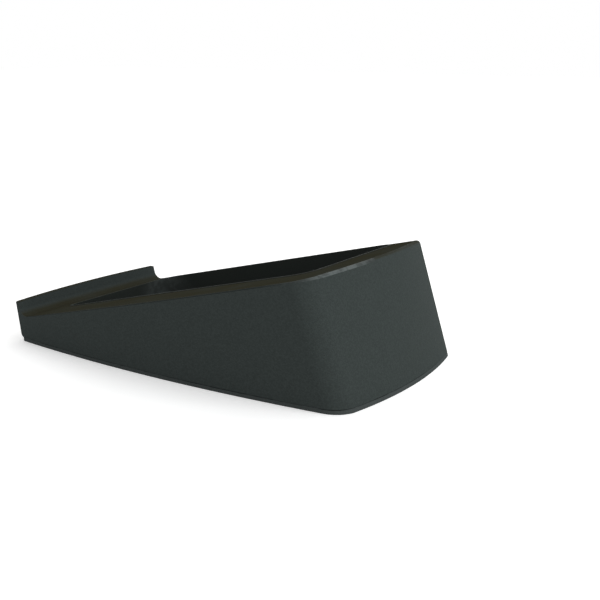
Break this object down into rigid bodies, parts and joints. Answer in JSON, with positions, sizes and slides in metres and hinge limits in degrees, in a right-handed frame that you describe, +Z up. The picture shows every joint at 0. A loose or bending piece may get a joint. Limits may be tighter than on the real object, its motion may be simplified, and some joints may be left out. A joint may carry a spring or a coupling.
{
  "type": "wheel chock",
  "caption": "Open-topped wedge chock with crowned sides, a flat back, a wide sloping rim round a deep pocket, an upturned lip at the low end and a rubber-padded base.",
  "frame": {"origin": "centre of the bounding box in X and Y, on the ground under the grip pad", "axes": "+X from the low end to the tall end, +Y towards the flat back, +Z up"},
  "size_m": [0.3156, 0.1678, 0.0893],
  "materials": {
    "shell": "satin black plastic with a fine moulded grain",
    "liner": "smooth satin black plastic",
    "panel": "satin black sheet with a fine grain",
    "support": "plain dark grey moulding",
    "plate": "plain dark grey sheet",
    "pad": "matt black rubber sheet",
    "screw": "zinc-plated steel"
  },
  "bodies": {
    "root": {"outer_shell": "shell", "pocket_liner": "liner", "back_panel": "panel", "near_support": "support", "tall_end_support": "support", "low_end_support": "support", "base_plate": "plate", "grip_pad": "pad", "base_screws": "screw", "back_screws": "screw"}
  },
  "joints": []
}
